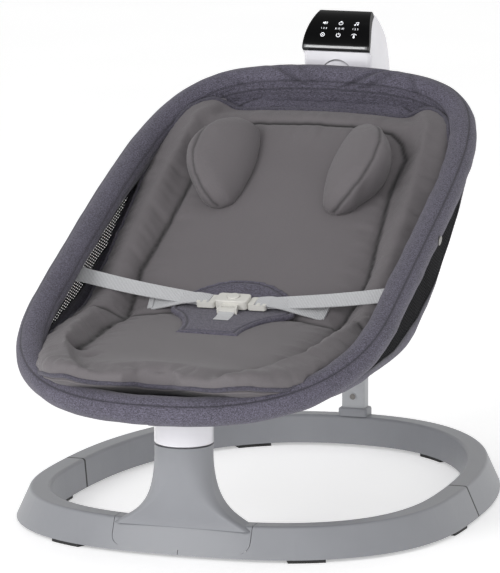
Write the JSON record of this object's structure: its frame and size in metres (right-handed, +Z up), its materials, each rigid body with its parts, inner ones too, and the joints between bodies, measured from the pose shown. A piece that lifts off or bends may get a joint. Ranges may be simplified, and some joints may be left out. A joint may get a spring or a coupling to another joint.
{
  "type": "baby swing",
  "caption": "Electric baby swing: padded reclined seat on an egg-shaped ring base, swinging side to side between a front hub and a rear drive housing with touch panel.",
  "frame": {"origin": "on the floor, at the middle of the outline seen from above", "axes": "+Z up, +Y from the foot end to the rear post, +X to the right seen from the foot end"},
  "size_m": [0.5712, 0.8432, 0.591],
  "materials": {
    "base_plastic": "satin moulded grey",
    "rubber": "matt",
    "post_paint": "powder coat",
    "steel": "plain",
    "white_plastic": "moulded gloss",
    "panel_gloss": "piano black",
    "bush_plastic": "acetal",
    "board": "solder mask",
    "coil": "enamelled copper",
    "magnet": "plated",
    "dark_plastic": "moulded",
    "melange_fabric": "melange weave",
    "mesh_fabric": "warp knit mesh",
    "pad_fabric": "brushed plain weave",
    "webbing": "ribbed webbing",
    "buckle_plastic": "moulded ivory",
    "snap_metal": "pressed"
  },
  "bodies": {
    "base": {"base_front_pedestal": "base_plastic", "base_left_arc": "base_plastic", "base_right_arc": "base_plastic", "base_rear_arc": "base_plastic", "ring_splices": "base_plastic", "post_collar": "base_plastic", "rubber_feet": "rubber", "rear_post": "post_paint", "post_screw": "steel", "front_hub": "white_plastic", "front_bush": "bush_plastic", "housing_front_shell": "white_plastic", "housing_rear_shell": "white_plastic", "touch_panel": "panel_gloss", "rear_bearing": "bush_plastic", "control_board": "board", "drive_coil": "coil", "speaker": "dark_plastic", "power_socket": "dark_plastic", "housing_screws": "steel"},
    "seat": {"rim_tube_upper": "steel", "rim_tube_lower": "steel", "frame_sleeves": "steel", "seat_spine": "steel", "front_pivot_bracket": "steel", "front_pivot_shaft": "steel", "rear_pivot_bracket": "steel", "rear_pivot_shaft": "steel", "drive_arm": "steel", "pivot_cover": "white_plastic", "drive_magnet": "magnet", "rim_cover": "melange_fabric", "sling": "melange_fabric", "crotch_pad": "melange_fabric", "mesh_left": "mesh_fabric", "mesh_right": "mesh_fabric", "seat_pad": "pad_fabric", "head_wing_left": "pad_fabric", "head_wing_right": "pad_fabric", "waist_strap_left": "webbing", "waist_strap_right": "webbing", "crotch_strap": "webbing", "buckle_body": "buckle_plastic", "snap_fasteners": "snap_metal"},
    "buckle_button": {"buckle_button": "buckle_plastic"},
    "tongue_left": {"tongue_left": "buckle_plastic"},
    "tongue_right": {"tongue_right": "buckle_plastic"}
  },
  "joints": [
    {"name": "swing", "type": "hinge", "parent": "base", "child": "seat", "pos_m": [0, -0.287, 0.152], "axis": [0, 0.8606, 0.5094], "range_deg": [-10, 10], "stiffness_Nm_per_rad": 12},
    {"name": "button_press", "type": "slide", "parent": "seat", "child": "buckle_button", "axis": [0, 0.2588, -0.9659], "range_m": [0, 0.003], "stiffness_N_per_m": 400},
    {"name": "tongue_right_pull", "type": "slide", "parent": "seat", "child": "tongue_right", "axis": [1, 0, 0], "range_m": [0, 0.018], "deforming": ["waist_strap_right"]},
    {"name": "tongue_left_pull", "type": "slide", "parent": "seat", "child": "tongue_left", "axis": [-1, 0, 0], "range_m": [0, 0.018], "deforming": ["waist_strap_left"]}
  ]
}
